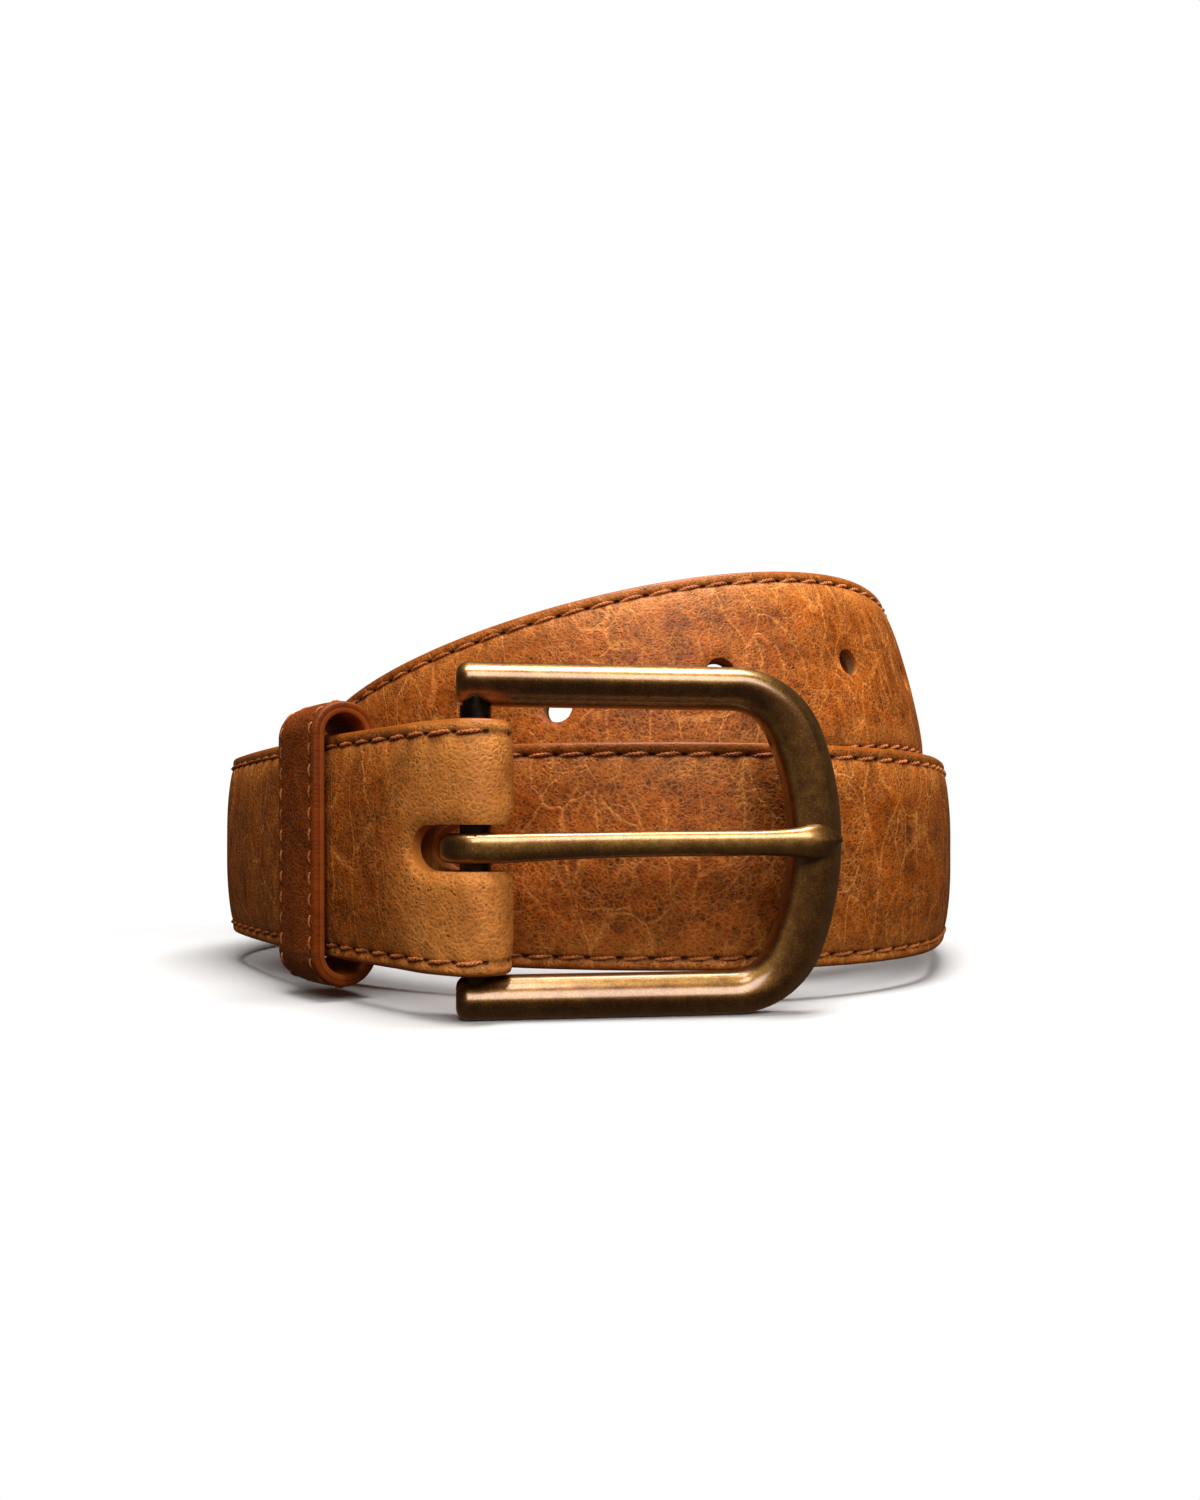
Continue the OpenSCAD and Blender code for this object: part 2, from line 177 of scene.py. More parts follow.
def sections(sigma):
    """As coil_sections, but below 0 the strap goes round the heel bar and then back as the flap."""
    sigma = np.asarray(sigma, float)
    c, o, w = coil_sections(np.maximum(sigma, 0))
    bend = (sigma < 0) & (sigma >= -BEND_LEN)
    d2 = turn(FIRST_HEADING + 90 - sigma / BEND_LEN * 180)
    mid = edge_height(np.zeros(1))[0] + HALF_W
    cb = np.column_stack([FOLD_R * d2, np.full(len(sigma), mid)])
    ob = np.column_stack([d2, np.zeros(len(sigma))])
    c[bend], o[bend], w[bend] = cb[bend], ob[bend], np.array([0, 0, 1.0])
    flap = sigma < -BEND_LEN
    if flap.any():
        d = -(sigma[flap] + BEND_LEN)
        cf, of, wf = coil_sections(d)
        lift = HALF_T + 2 * GLUE - FOLD_UNDER
        k = ease(d / 15)[:, None]
        c[flap] = cf - (2 * FOLD_R * (1 - k) + lift * k) * of
        o[flap], w[flap] = -of, wf
    return c, o, w


def half_width(s):
    t = np.clip((s - STRAP_LEN + TIP_LEN) / TIP_LEN, 0, 1)
    return np.maximum(1.5, HALF_W * np.sqrt(np.maximum(0, 1 - t * t)))


# ---------------------------------------------------------------- the outer face of the leather
rng = np.random.default_rng(7)
WAVES = [(rng.uniform(0.12, 0.55), rng.uniform(0.1, 0.6), rng.uniform(0, 6.28), rng.uniform(0.4, 1))
         for _ in range(14)]


def undulation(s, v):
    total = sum(a * np.sin(ks * s + kv * v + phase) for ks, kv, phase, a in WAVES)
    return total / sum(w[3] for w in WAVES)


def fullness(sigma):
    """0 in the flat fold, 1 where the leather lies over the filler."""
    return ease((sigma - 5) / 8)


def slot_distance(c, w, v):
    """Distance outside the prong's slot, in the plane of the fold."""
    ahead = turn(FIRST_HEADING)
    x = c[:, :2] @ ahead
    z = c[:, 2][:, None] + v * w[:, 2][:, None] - SLOT_Z
    beyond = np.maximum(x - (SLOT_REACH - SLOT_H / 2), 0)[:, None]
    return np.hypot(beyond, z) - SLOT_H / 2


def face_height(sigma, v, c, w):
    """u of the outer face at each (sigma, v): v is one row of places across for each sigma."""
    s = sigma[:, None]
    half = half_width(sigma)[:, None]
    inset = np.maximum(half - np.abs(v), 0)
    share = np.clip((inset - SEAM_INSET) / np.maximum(half - SEAM_INSET, 1), 0, 1)
    crown = np.where(share > 0, (1 - (1 - share) ** 2.7) ** 0.8, 0)
    full = RIM_U + 0.16 + (HALF_T - RIM_U - 0.16) * crown
    flat = HALF_T - 0.3 * (1 - np.clip(inset / 7, 0, 1)) ** 2
    k = fullness(sigma)[:, None]
    u = flat * (1 - k) + full * k
    # the seam pulls a channel into the leather, deepest at the needle holes
    pull = 0.5 + 0.5 * np.cos(2 * PI * s / STITCH_PITCH)
    depth = (0.2 + 0.26 * pull) * (0.55 + 0.45 * k)
    u = u - depth * np.exp(-((inset - SEAM_INSET) / 0.42) ** 2)
    u = u - 0.16 * pull * np.exp(-((inset - SEAM_INSET - 0.9) / 0.8) ** 2)
    u = u + 0.05 * (1 - pull) * np.exp(-((inset - 1.05) / 0.35) ** 2)
    # a rounded edge
    r = 0.6
    u = u - (r - np.sqrt(np.maximum(r * r - np.maximum(r - inset, 0) ** 2, 0)))
    u = u + 0.07 * undulation(s, v) * np.clip((inset - 2.5) / 4, 0, 1)
    for hole in HOLES:
        reach = np.maximum(np.hypot(s - hole, v) - HOLE_D / 2, 0)
        u = u - 0.3 * np.exp(-(reach / 0.45) ** 2) - 0.14 * np.exp(-(reach / 1.6) ** 2)
    near_slot = ((sigma > -BEND_LEN * 0.9) & (sigma < SLOT_REACH + 4))[:, None]
    gap = np.maximum(slot_distance(c, w, v), 0)
    u = u - near_slot * (0.5 * np.exp(-(gap / 0.42) ** 2) + 0.12 * np.exp(-(gap / 1.5) ** 2))
    # the flap is shaved thinner towards its end
    flap = np.maximum(-(sigma + BEND_LEN), 0)[:, None]
    return u - (FOLD_T - FLAP_END_T) * ease(flap / FLAP_LEN)


def place(c, o, w, u, v):
    """Points of one row per section, in metres in the row frame."""
    p = c[:, None] + u[..., None] * o[:, None] + v[..., None] * w[:, None]
    return (p + HEEL) * MM


# ---------------------------------------------------------------- mesh helpers
def mesh_object(name, points, faces, uv=None, attributes=None):
    """A mesh from arrays. uv has one (s, v) pair for each vertex; attributes one value for each vertex."""
    mesh = bpy.data.meshes.new(name)
    points = np.asarray(points, np.float32)
    if isinstance(faces, np.ndarray):
        count, sides = faces.shape
        mesh.vertices.add(len(points))
        mesh.vertices.foreach_set("co", points.ravel())
        mesh.loops.add(count * sides)
        mesh.loops.foreach_set("vertex_index", faces.ravel().astype(np.int32))
        mesh.polygons.add(count)
        mesh.polygons.foreach_set("loop_start", np.arange(0, count * sides, sides, dtype=np.int32))
        mesh.update(calc_edges=True)
    else:
        mesh.from_pydata([tuple(p) for p in points.tolist()], [], faces)
    if uv is not None:
        layer = mesh.uv_layers.new(name="strap")
        index = np.zeros(len(mesh.loops), np.int32)
        mesh.loops.foreach_get("vertex_index", index)
        layer.data.foreach_set("uv", np.asarray(uv, np.float32)[index].ravel())
    for key, values in (attributes or {}).items():
        mesh.attributes.new(key, "FLOAT", "POINT").data.foreach_set("value", np.asarray(values, np.float32))
    mesh.validate()
    mesh.polygons.foreach_set("use_smooth", np.ones(len(mesh.polygons), bool))
    obj = bpy.data.objects.new(name, mesh)
    bpy.context.scene.collection.objects.link(obj)
    return obj


def tube_faces(rings, sides, start=0):
    """Quads of one open tube of rings, each with the same number of sides."""
    j, i = np.meshgrid(np.arange(rings - 1), np.arange(sides), indexing="ij")
    k = (i + 1) % sides
    quads = np.stack([j * sides + i, j * sides + k, (j + 1) * sides + k, (j + 1) * sides + i], -1)
    return start + quads.reshape(-1, 4)


def loft(name, rings, uv=None, attributes=None, smooth_angle=None):
    """A closed solid through an array of rings, shape (rings, sides, 3), in metres."""
    m, n = rings.shape[:2]
    quads = tube_faces(m, n).tolist()
    faces = [list(range(n))[::-1], *quads, list(range((m - 1) * n, m * n))]
    obj = mesh_object(name, rings.reshape(-1, 3), faces, uv, attributes)
    mend_normals(obj)
    if smooth_angle is not None:
        obj.data.set_sharp_from_angle(angle=math.radians(smooth_angle))
    return obj


def mend_normals(obj):
    """Turns every face outwards."""
    work = bmesh.new()
    work.from_mesh(obj.data)
    bmesh.ops.recalc_face_normals(work, faces=work.faces)
    work.to_mesh(obj.data)
    work.free()


def cut(obj, tools, operation="DIFFERENCE", smooth_angle=38):
    """Cuts the tools out of obj, or joins them to it, and leaves no modifier."""
    for tool in tools:
        modifier = obj.modifiers.new("cut", "BOOLEAN")
        modifier.operation = operation
        modifier.solver = "EXACT"
        modifier.object = tool
    bpy.context.view_layer.update()
    done = bpy.data.meshes.new_from_object(obj.evaluated_get(bpy.context.evaluated_depsgraph_get()))
    obj.modifiers.clear()
    obj.data = done
    done.polygons.foreach_set("use_smooth", np.ones(len(done.polygons), bool))
    done.set_sharp_from_angle(angle=math.radians(smooth_angle))
    for tool in tools:
        bpy.data.objects.remove(tool)
    return obj


def stadium_prism(name, outline, ahead, out, middle, depth):
    """A prism of a flat outline of (along, up) points, along ahead and up, with its depth along out."""
    up = np.array([0, 0, 1.0])
    rings = [[(middle + x * ahead + z * up + d * out + HEEL) * MM for x, z in outline]
             for d in (-depth, depth)]
    return loft(name, np.array(rings))


def hole_cutter(s):
    """A cylinder through the strap at s."""
    c, o, w = coil_sections([s])
    ahead = np.cross(o[0], w[0])
    rim = [(HOLE_D / 2 * math.cos(a), HOLE_D / 2 * math.sin(a)) for a in np.linspace(0, 2 * PI, 49)[:-1]]
    rings = [[(c[0] + x * ahead + y * w[0] + d * o[0] + HEEL) * MM for x, y in rim] for d in (-8, 8)]
    return loft("hole_cutter", np.array(rings))


def slot_cutter():
    """The prong's slot, with one round end, through the fold and both layers."""
    ahead = np.array([*turn(FIRST_HEADING), 0.0])
    out = np.array([*turn(FIRST_HEADING + 90), 0.0])
    r = SLOT_H / 2
    x = SLOT_REACH - r
    outline = [(x + r * math.cos(a), r * math.sin(a)) for a in np.linspace(-PI / 2, PI / 2, 25)]
    outline += [(-12, r), (-12, -r)]
    return stadium_prism("slot_cutter", outline, ahead, out, np.array([0, 0, SLOT_Z]), 14)


# ---------------------------------------------------------------- node materials
class Shader:
    """A node material with short calls for the nodes that the surfaces share."""

    def __init__(self, name):
        self.material = bpy.data.materials.new(name)
        self.material.use_nodes = True
        self.tree = self.material.node_tree
        self.bsdf = self.tree.nodes["Principled BSDF"]

    def node(self, kind, **inputs):
        made = self.tree.nodes.new(kind)
        for key, value in inputs.items():
            self.feed(made.inputs[key.replace("_", " ")], value)
        return made

    def feed(self, socket, value):
        if isinstance(value, bpy.types.NodeSocket):
            self.tree.links.new(value, socket)
        else:
            socket.default_value = value

    def math(self, operation, a, b=0.0):
        made = self.tree.nodes.new("ShaderNodeMath")
        made.operation = operation
        self.feed(made.inputs[0], a)
        self.feed(made.inputs[1], b)
        return made.outputs[0]

    def add(self, *values):
        total = values[0]
        for value in values[1:]:
            total = self.math("ADD", total, value)
        return total

    def times(self, a, b):
        return self.math("MULTIPLY", a, b)

    def step(self, value, low_edge, high_edge, low_out=0.0, high_out=1.0):
        made = self.tree.nodes.new("ShaderNodeMapRange")
        made.interpolation_type = "SMOOTHSTEP"
        for i, x in enumerate((value, low_edge, high_edge, low_out, high_out)):
            self.feed(made.inputs[i], x)
        return made.outputs[0]

    def mix(self, factor, a, b):
        made = self.tree.nodes.new("ShaderNodeMix")
        made.data_type = "RGBA"
        self.feed(made.inputs[0], factor)
        self.feed(made.inputs[6], colour(a))
        self.feed(made.inputs[7], colour(b))
        return made.outputs[2]

    def vector(self, operation, a, b):
        made = self.tree.nodes.new("ShaderNodeVectorMath")
        made.operation = operation
        self.feed(made.inputs[0], a)
        if operation == "SCALE":
            self.feed(made.inputs[3], b)
        else:
            self.feed(made.inputs[1], b)
        return made.outputs[0]

    def noise(self, place, scale, detail=3.0, roughness=0.5):
        inputs = {"Vector": place, "Scale": scale, "Detail": detail, "Roughness": roughness}
        return self.node("ShaderNodeTexNoise", **inputs).outputs

    def cells(self, place, scale, feature="DISTANCE_TO_EDGE"):
        made = self.tree.nodes.new("ShaderNodeTexVoronoi")
        made.feature = feature
        self.feed(made.inputs["Vector"], place)
        self.feed(made.inputs["Scale"], scale)
        return made.outputs

    def attribute(self, name):
        made = self.tree.nodes.new("ShaderNodeAttribute")
        made.attribute_name = name
        return made.outputs["Fac"]

    def bump(self, height, distance_mm, strength=1.0):
        made = self.tree.nodes.new("ShaderNodeBump")
        made.inputs["Strength"].default_value = strength
        made.inputs["Distance"].default_value = distance_mm * MM
        self.feed(made.inputs["Height"], height)
        return made.outputs[0]

    def set(self, **values):
        for key, value in values.items():
            self.feed(self.bsdf.inputs[key.replace("_", " ")], colour(value))
        return self.material


def colour(value):
    if isinstance(value, tuple) and len(value) == 3:
        return (*value, 1.0)
    return value


def srgb(r, g, b):
    """A display colour of 0 to 255 as the linear colour that shaders take."""
    def one(x):
        x /= 255
        return x / 12.92 if x <= 0.04045 else ((x + 0.055) / 1.055) ** 2.4
    return (one(r), one(g), one(b))


def strap_place(shader):
    """(s, v) in millimetres."""
    made = shader.tree.nodes.new("ShaderNodeUVMap")
    made.uv_map = "strap"
    return made.outputs[0]


def leather(name, dark, mid, light, vein=1.0, pebble=1.0, rough=0.46, seam=False):
    """Pull-up leather: light creases and veins, fine pebble, pores, and lighter where it is stretched."""
    sh = Shader(name)
    at = strap_place(sh)
    split = sh.node("ShaderNodeSeparateXYZ", Vector=at)
    across = sh.math("ABSOLUTE", split.outputs[1])
    sway = sh.vector("SUBTRACT", sh.noise(at, 0.04, 1.0)[1], (0.5, 0.5, 0.5))
    wiggle = sh.vector("SUBTRACT", sh.noise(at, 0.38, 2.0)[1], (0.5, 0.5, 0.5))
    bent = sh.vector("ADD", at, sh.vector("SCALE", sway, 7.0))
    bent = sh.vector("ADD", bent, sh.vector("SCALE", wiggle, 0.35))
    tremble = sh.vector("ADD", at, wiggle)

    def lines(place, size_s, size_v, width):
        edge = sh.cells(sh.vector("DIVIDE", place, (size_s, size_v, 1.0)), 1.0)[0]
        return sh.step(edge, 0.0, width, 1.0, 0.0)

    def patches(scale, low_edge, high_edge):
        return sh.step(sh.noise(at, scale, 2.0)[0], low_edge, high_edge)

    calm = sh.step(split.outputs[0], 7.0, 21.0, 0.25, 1.0) if seam else 1.0
    veins = sh.times(lines(bent, 5.6, 24.0, 0.06), sh.add(sh.times(patches(0.06, 0.36, 0.54), 0.75), 0.25))
    branches = sh.times(lines(bent, 3.4, 8.0, 0.08), patches(0.11, 0.42, 0.62))
    broken = sh.times(sh.step(sh.noise(at, 1.1, 2.0)[0], 0.3, 0.62, 0.35, 1.0), calm)
    veins, branches = sh.times(veins, broken), sh.times(branches, broken)
    crackle = sh.times(lines(tremble, 0.85, 1.25, 0.2), patches(0.2, 0.34, 0.62))
    pebbles = sh.cells(tremble, 1.35)[0]
    grain = sh.noise(at, 3.4, 4.0, 0.7)[0]
    cloud = sh.noise(at, 0.13, 5.0, 0.62)[0]
    fleck = sh.noise(sh.vector("MULTIPLY", at, (1.0, 0.8, 1.0)), 0.75, 3.0, 0.6)[0]
    pores = sh.times(sh.step(sh.cells(at, 0.8, "F1")[0], 0.1, 0.22, 1.0, 0.0), patches(0.08, 0.45, 0.58))

    tone = sh.step(sh.add(sh.times(cloud, 0.5), sh.times(fleck, 0.46), sh.times(grain, 0.2)), 0.4, 0.76)
    base = sh.mix(tone, dark, mid)
    lift = sh.add(sh.times(veins, 0.42 * vein), sh.times(branches, 0.22 * vein),
                  sh.times(crackle, 0.26 * vein),
                  sh.times(sh.step(pebbles, 0.0, 0.2, 1.0, 0.0), 0.14 * pebble))
    lift = sh.add(lift, sh.times(sh.step(across, 9.0, 15.0), sh.times(cloud, 0.34)))
    if seam:
        pulled = sh.times(sh.step(split.outputs[0], 4.0, 16.0, 1.0, 0.0), sh.add(0.1, cloud))
        lift = sh.add(lift, sh.times(pulled, 0.75))
    base = sh.mix(sh.math("MINIMUM", lift, 1.0), base, light)
    base = sh.mix(sh.times(pores, 0.6), base, dark)
    height = sh.add(sh.times(veins, -0.5 * vein), sh.times(branches, -0.35 * vein),
                    sh.times(crackle, -0.2 * vein), sh.times(sh.step(pebbles, 0.0, 0.35), 0.3 * pebble),
                    sh.times(grain, 0.3), sh.times(fleck, 0.3), sh.times(pores, -0.4))
    if seam:
        # painted shade in the needle holes and along the seam channel
        base, height = needle_hole_and_seam_shade(sh, split, base, height)
    edge = sh.attribute("edge")
    base = sh.mix(sh.times(edge, 0.8), base, sh.mix(cloud, dark, mid))
    height = sh.times(height, sh.step(edge, 0.0, 1.0, 1.0, 0.25))
    roughness = sh.add(rough - 0.08, sh.times(grain, 0.16), sh.times(veins, 0.06), sh.times(edge, -0.08))
    return sh.set(Base_Color=base, Roughness=roughness, Normal=sh.bump(height, 0.18, 0.9),
                  Specular_IOR_Level=0.26)


def needle_hole_and_seam_shade(sh, split, base, height):
    """Painted shade along the channel of the two edge seams and painted shadow in the needle holes between
    the stitches, with the holes pressed in by bump.
    """
    lane = sh.math("SUBTRACT", sh.math("ABSOLUTE", split.outputs[1]), HALF_W - SEAM_INSET)
    turns = sh.math("DIVIDE", split.outputs[0], STITCH_PITCH)
    along = sh.math("SUBTRACT", sh.math("FRACT", sh.math("ADD", turns, 0.5)), 0.5)
    along = sh.times(along, STITCH_PITCH)
    reach = sh.math("SQRT", sh.add(sh.math("POWER", sh.times(along, 0.72), 2.0),
                                   sh.math("POWER", sh.times(lane, 1.45), 2.0)))
    hole = sh.step(reach, 0.16, 0.5, 1.0, 0.0)
    seam_channel_shade = sh.step(sh.math("ABSOLUTE", lane), 0.25, 0.8, 1.0, 0.0)
    # the seam channel is painted darker as painted shade, and the needle holes near black as painted shadow
    base = sh.mix(sh.times(seam_channel_shade, 0.4), base, srgb(92, 40, 12))
    base = sh.mix(sh.times(hole, 0.85), base, srgb(34, 14, 4))
    return base, sh.math("SUBTRACT", height, sh.times(hole, 1.6))


def thread_material(name, dark, light):
    """Waxed two-ply thread, darker where it is worn in."""
    sh = Shader(name)
    at = sh.node("ShaderNodeTexCoord").outputs["Object"]
    fibres = sh.noise(at, 2600.0, 3.0)[0]
    runs = sh.noise(at, 160.0, 2.0)[0]
    tone = sh.step(sh.add(sh.times(fibres, 0.6), sh.times(runs, 0.5)), 0.35, 0.75)
    return sh.set(Base_Color=sh.mix(tone, dark, light), Roughness=0.62, Normal=sh.bump(fibres, 0.05, 0.6))


def brass_material():
    """Antique brass under clear lacquer: browned, finely speckled, and painted lighter on the ridges and
    bevels as a painted highlight.
    """
    sh = Shader("antique_brass")
    at = sh.node("ShaderNodeTexCoord").outputs["Object"]
    speckle = sh.noise(at, 3600.0, 3.0, 0.7)[0]
    blotch = sh.noise(at, 520.0, 4.0, 0.6)[0]
    drift = sh.noise(at, 60.0, 3.0)[0]
    brush = sh.noise(sh.vector("MULTIPLY", at, (300.0, 4000.0, 4000.0)), 1.0, 2.0)[0]
    # painted highlight: the brass colour is made lighter where the frame and the prong carry painted
    # highlight weights
    ridge_highlight = sh.attribute("painted_highlight")
    tone = sh.add(sh.times(speckle, 0.5), sh.times(blotch, 0.35), sh.times(drift, 0.25),
                  sh.times(ridge_highlight, 0.22))
    base = sh.mix(sh.step(tone, 0.46, 0.8), srgb(104, 66, 24), srgb(160, 118, 56))
    base = sh.mix(sh.step(tone, 0.68, 1.0), base, srgb(200, 160, 96))
    roughness = sh.add(0.33, sh.times(speckle, 0.12), sh.times(blotch, 0.08))
    height = sh.add(sh.times(speckle, 0.6), sh.times(blotch, 0.3), sh.times(brush, 0.25))
    return sh.set(Base_Color=base, Metallic=1.0, Roughness=roughness, Normal=sh.bump(height, 0.016, 0.6),
                  Coat_Weight=1.0, Coat_Roughness=0.22, Coat_IOR=1.75)


def steel_material():
    sh = Shader("dark_steel")
    at = sh.node("ShaderNodeTexCoord").outputs["Object"]
    smudge = sh.noise(at, 420.0, 3.0)[0]
    base = sh.mix(sh.step(smudge, 0.35, 0.7), srgb(58, 48, 38), srgb(96, 84, 70))
    return sh.set(Base_Color=base, Metallic=1.0, Roughness=sh.add(0.22, sh.times(smudge, 0.2)),
                  Normal=sh.bump(smudge, 0.02, 0.4))


def board_material():
    sh = Shader("filler_board")
    at = strap_place(sh)
    fibre = sh.noise(sh.vector("MULTIPLY", at, (0.6, 3.0, 1.0)), 1.0, 5.0)[0]
    return sh.set(Base_Color=sh.mix(fibre, srgb(120, 84, 50), srgb(186, 146, 100)), Roughness=0.85,
                  Normal=sh.bump(fibre, 0.1, 0.6))


# ---------------------------------------------------------------- the strap
def stations():
    """Places along the strap: 1 mm apart, closer round the holes and the slot."""
    coarse = np.arange(SLOT_REACH + 6, STRAP_LEN - TIP_LEN, 0.99)
    near_hole = np.min(np.abs(coarse[:, None] - np.array(HOLES)), axis=1) < 4.8
    parts = [coarse[~near_hole]]
    parts += [np.arange(hole - 4.8, hole + 4.8, 0.4) for hole in HOLES]
    parts.append(STRAP_LEN - TIP_LEN + TIP_LEN * np.sin(np.linspace(0, PI / 2, 28)))
    flap = -BEND_LEN - np.arange(FLAP_LEN, 0, -1.0)
    bend = -BEND_LEN + BEND_LEN * np.linspace(0, 1, 41)[:-1]
    start = np.arange(0, SLOT_REACH + 6, 0.45)
    return np.concatenate([flap, bend, start, np.sort(np.concatenate(parts))])


# Columns of the face: millimetres in from the edge, close together at the seam, then shares of half the width
EDGE_INSETS = [0.0, 0.04, 0.14, 0.3, 0.5, 0.75, 1.05, 1.35, 1.6, 1.78, 1.9, 2.02, 2.2, 2.45, 2.8, 3.3,
               4.0, 4.9]
MIDDLE_SHARES = [0.63, 0.54, 0.46, 0.38, 0.31, 0.25, 0.2, 0.16, 0.12, 0.08, 0.04, 0.0]


def across_places(half):
    """v of the face's columns for each section, from one edge to the other."""
    squeeze = np.minimum(1, half / 9)[:, None]
    outer = half[:, None] - np.array(EDGE_INSETS) * squeeze
    inner = half[:, None] * np.array(MIDDLE_SHARES)
    side = np.concatenate([outer, inner], 1)
    return np.concatenate([-side, side[:, ::-1][:, 1:]], 1)


def outer_leather():
    """The strap's outer leather: crowned face, rounded edges, flap and fold, with its holes and slot cut."""
    sigma = stations()
    c, o, w = sections(sigma)
    half = half_width(sigma)
    v = across_places(half)
    u = face_height(sigma, v, c, w)
    k = fullness(sigma)[:, None]
    under_shares = np.array([1, 1, 0.97, 0.74, 0.5, 0.25, 0, -0.25, -0.5, -0.74, -0.97, -1, -1])
    filled = np.interp(np.abs(under_shares), [0.25, 0.74], [UNDER_MIDDLE, UNDER_EDGE])[None]
    under_u = FOLD_UNDER * (1 - k) + filled * k
    wall = np.minimum(u[:, :1] - 0.05, under_u[:, :1] + 0.35)
    under_u = np.concatenate([wall, under_u[:, 1:-1], wall], 1)
    under_v = under_shares[None] * half[:, None]
    all_u = np.concatenate([u, under_u], 1)
    all_v = np.concatenate([v, under_v], 1)
    rings = place(c, o, w, all_u, all_v)
    s_column = np.repeat(sigma[:, None], all_v.shape[1], 1)
    uv = np.stack([s_column, all_v], -1).reshape(-1, 2)
    inset = half[:, None] - np.abs(v)
    edge = np.concatenate([1 - ease((inset - 0.15) / 0.75), np.ones(under_u.shape)], 1)
    obj = loft("outer_leather", rings, uv, {"edge": edge.ravel()})
    cut(obj, [hole_cutter(s) for s in HOLES] + [slot_cutter()], smooth_angle=42)
    return obj


def swept_layer(name, from_s, to_s, step, profile, edge=None):
    """A thin layer of the strap with its holes; profile has (u, share of half the width, inset)."""
    s = np.arange(from_s, min(to_s, STRAP_LEN - TIP_LEN), step)
    if to_s > STRAP_LEN - TIP_LEN:
        s = np.concatenate([s, STRAP_LEN - TIP_LEN + TIP_LEN * np.sin(np.linspace(0, PI / 2, 20))])
    c, o, w = coil_sections(s)
    half = half_width(s)[:, None]
    u = np.repeat(np.array([p[0] for p in profile])[None], len(s), 0)
    share = np.array([p[1] for p in profile])[None]
    inset = np.array([p[2] for p in profile])[None]
    v = share * half - np.sign(share) * inset * np.minimum(1, half / 9)
    rings = place(c, o, w, u, v)
    uv = np.stack([np.repeat(s[:, None], v.shape[1], 1), v], -1).reshape(-1, 2)
    attributes = None if edge is None else {"edge": np.repeat(np.array(edge)[None], len(s), 0).ravel()}
    obj = loft(name, rings, uv, attributes)
    cut(obj, [hole_cutter(x) for x in HOLES], smooth_angle=42)
    return obj


def lining_piece():
    top, base = -HALF_T + LINING_T, -HALF_T
    half_ring = [(top, 1, 0.08), (top - 0.08, 1, 0.0), (base + 0.5, 1, 0.0), (base + 0.25, 1, 0.07),
                 (base + 0.08, 1, 0.25), (base, 1, 0.55), (base, 0.6, 0.0), (base, 0.2, 0.0)]
    mirrored = [(u, -share, inset) for u, share, inset in half_ring[::-1]]
    flat_top = [(top, -0.5, 0.0), (top, 0.5, 0.0)]
    edge = [1, 1, 1, 1, 0.9, 0.3, 0, 0]
    return swept_layer("lining", 14, STRAP_LEN, 2.0, half_ring + mirrored + flat_top,
                       edge=edge + edge[::-1] + [0, 0])


def filler_piece():
    top, base = UNDER_MIDDLE - 2 * GLUE, UNDER_EDGE
    profile = [(base, 0.7, 0), (base, -0.7, 0), (top, -0.25, 0), (top, 0.25, 0)]
    return swept_layer("filler", 23, STRAP_LEN - TIP_LEN, 4.0, profile)


# ---------------------------------------------------------------- the seams
def stitch_run(name, starts, route, length, slant, rise, radius, ply, rings=11, sides=6):
    """One mesh of separate stitches. route(t) gives foot, out and side at places t along the seam."""
    t = starts[:, None] + np.linspace(0, length, rings)[None]
    share = np.linspace(0, 1, rings)[None]
    foot, out, side = route(t.ravel())
    shape = (len(starts), rings, 3)
    foot, out, side = foot.reshape(shape), out.reshape(shape), side.reshape(shape)
    arch = np.sin(PI * share) ** 0.5
    lift = -0.4 + (rise + 0.4) * arch
    drift = slant * (0.5 - share)
    middle = foot + lift[..., None] * out + drift[..., None] * side
    taper = 0.55 + 0.45 * arch
    points, faces, count = [], [], 0
    around = np.linspace(0, 2 * PI, sides, endpoint=False)
    for strand in range(ply):
        phase = share * length / 1.25 * 2 * PI + strand * PI
        off = radius * 0.52 * taper if ply > 1 else 0 * taper
        across, high = off * np.cos(phase), off * np.sin(phase)
        hub = middle + across[..., None] * side + high[..., None] * out * 0.8
        r = radius * (0.62 if ply > 1 else 1.0) * taper
        ring = (hub[:, :, None] + (r[..., None] * np.cos(around))[..., None] * side[:, :, None]
                + (r[..., None] * np.sin(around))[..., None] * out[:, :, None])
        points.append(ring.reshape(-1, 3))
        for _ in starts:
            faces.append(tube_faces(rings, sides, count))
            count += rings * sides
    return mesh_object(name, (np.concatenate(points) + HEEL) * MM, np.concatenate(faces))


def edge_route(side_sign, outer):
    """Foot, out and side along an edge seam, on the outer face or on the lining."""
    def route(sigma):
        c, o, w = sections(sigma)
        v = np.full((len(sigma), 1), side_sign * (HALF_W - SEAM_INSET))
        u = face_height(sigma, v, c, w)[:, 0] + 0.12 if outer else np.full(len(sigma), HALF_T + 0.02)
        out = o if outer else -o
        foot = c + u[:, None] * out + v * w
        return foot, out, w
    return route


def tip_route(outer):
    """The seam round the tip: t runs from one edge lane to the other."""
    reach = TIP_LEN - SEAM_INSET
    lane = HALF_W - SEAM_INSET
    def route(t):
        a = t / tip_seam_length() * PI
        s = STRAP_LEN - TIP_LEN + reach * np.sin(a)
        c, o, w = coil_sections(s)
        v = (lane * np.cos(a))[:, None]
        u = face_height(s, v, c, w)[:, 0] + 0.1 if outer else np.full(len(s), HALF_T + 0.02)
        ahead = np.cross(o, w)
        side = np.cos(a)[:, None] * w + np.sin(a)[:, None] * ahead
        out = o if outer else -o
        return c + u[:, None] * out + v * w, out, side
    return route


